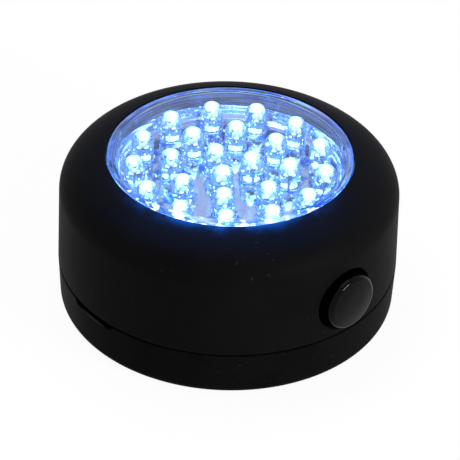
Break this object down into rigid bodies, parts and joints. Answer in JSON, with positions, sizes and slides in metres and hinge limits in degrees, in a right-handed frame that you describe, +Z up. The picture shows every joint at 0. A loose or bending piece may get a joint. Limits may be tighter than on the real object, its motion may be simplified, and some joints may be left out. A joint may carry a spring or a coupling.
{
  "type": "magnetic led puck light",
  "caption": "Round black battery work light: clear domed cover over LEDs in a mirror dish, side push button, removable base with magnets and a fold-out hook on a turning disc.",
  "frame": {"origin": "centre of the base's underside, where the light stands", "axes": "+Z up through the clear cover, -Y towards the viewer, the button right of the front"},
  "size_m": [0.0758, 0.0758, 0.0383],
  "materials": {
    "soft_black": "soft-touch matt black",
    "base_black": "satin black",
    "gloss_black": "polished black",
    "inner_black": "plain black, inside",
    "clear_cover": "clear moulded plastic",
    "led_epoxy": "water-clear epoxy, lit cool white",
    "plated_reflector": "bright metallised plastic",
    "circuit_board": "green solder mask",
    "nickel": "nickel plate",
    "zinc_screw": "zinc-plated steel",
    "cell_can": "plain dark wrap on a metal can",
    "red_wire": "red insulation",
    "black_wire": "black insulation",
    "resistor_coat": "beige lacquer"
  },
  "bodies": {
    "light": {"housing": "soft_black", "lens": "clear_cover", "reflector": "plated_reflector", "led_board": "circuit_board", "led_01": "led_epoxy", "led_02": "led_epoxy", "led_03": "led_epoxy", "led_04": "led_epoxy", "led_05": "led_epoxy", "led_06": "led_epoxy", "led_07": "led_epoxy", "led_08": "led_epoxy", "led_09": "led_epoxy", "led_10": "led_epoxy", "led_11": "led_epoxy", "led_12": "led_epoxy", "led_13": "led_epoxy", "led_14": "led_epoxy", "led_15": "led_epoxy", "led_16": "led_epoxy", "led_17": "led_epoxy", "led_18": "led_epoxy", "led_19": "led_epoxy", "led_20": "led_epoxy", "led_21": "led_epoxy", "led_22": "led_epoxy", "led_23": "led_epoxy", "led_24": "led_epoxy", "board_screw_1": "zinc_screw", "board_screw_2": "zinc_screw", "board_screw_3": "zinc_screw", "battery_tray": "inner_black", "cell_1": "cell_can", "cell_2": "cell_can", "cell_3": "cell_can", "contact_spring_1": "nickel", "contact_spring_2": "nickel", "contact_spring_3": "nickel", "contact_bridge_1": "nickel", "contact_bridge_2": "nickel", "contact_single_1": "nickel", "contact_single_2": "nickel", "switch_body": "inner_black", "wire_positive": "red_wire", "wire_switched": "red_wire", "wire_negative": "black_wire", "resistor": "resistor_coat", "tray_screw_1": "zinc_screw", "tray_screw_2": "zinc_screw"},
    "button": {"button_cap": "gloss_black", "switch_plunger": "zinc_screw"},
    "base": {"base_cover": "base_black"},
    "swivel": {"hook_swivel": "base_black", "magnet_1": "nickel", "magnet_2": "nickel", "hook_pin": "zinc_screw", "swivel_washer": "zinc_screw", "swivel_screw": "zinc_screw"},
    "hook": {"hook": "base_black"}
  },
  "joints": [
    {"name": "button_press", "type": "slide", "parent": "light", "child": "button", "axis": [-0.6803, 0.7329, 0], "range_m": [0, 0.0012], "stiffness_N_per_m": 800, "springref_m": -0.0012},
    {"name": "cover_pull", "type": "slide", "parent": "light", "child": "base", "axis": [0, 0, -1], "range_m": [0, 0.04]},
    {"name": "swivel_turn", "type": "hinge", "parent": "base", "child": "swivel", "pos_m": [0, 0, 0], "axis": [0, 0, 1], "continuous": true},
    {"name": "hook_fold", "type": "hinge", "parent": "swivel", "child": "hook", "pos_m": [0, 0.018, 0.0024], "axis": [1, 0, 0], "range_deg": [0, 120]}
  ]
}
